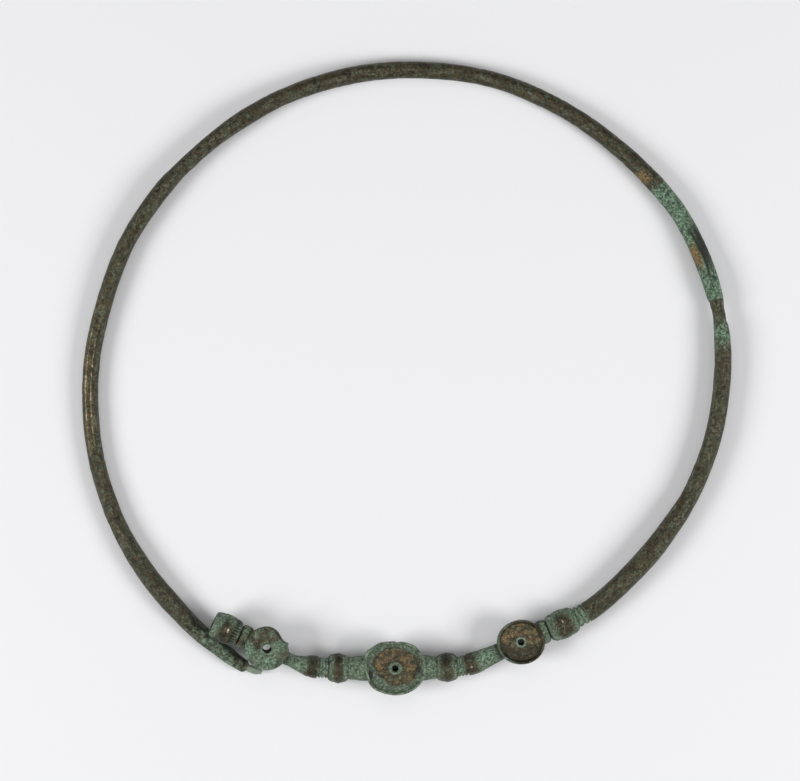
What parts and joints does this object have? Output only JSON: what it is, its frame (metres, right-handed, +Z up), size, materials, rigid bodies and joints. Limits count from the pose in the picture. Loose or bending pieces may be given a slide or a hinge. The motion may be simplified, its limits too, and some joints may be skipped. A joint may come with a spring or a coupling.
{
  "type": "disc torc",
  "caption": "Ancient bronze neck ring with a plain rod, a sprung gap, and dished discs between beaded and ribbed mouldings across the front.",
  "frame": {"origin": "on the ground, under the middle of the torc's bounding box", "axes": "+Z up out of the faces of the discs, +Y from the discs to the nape, +X to the side where the mouldings run into the ring"},
  "size_m": [0.15, 0.1462, 0.0098],
  "materials": {
    "bronze": "corroded bronze with grey-green patina and worn brown patches"
  },
  "bodies": {
    "root": {"torc": "bronze"}
  },
  "joints": []
}
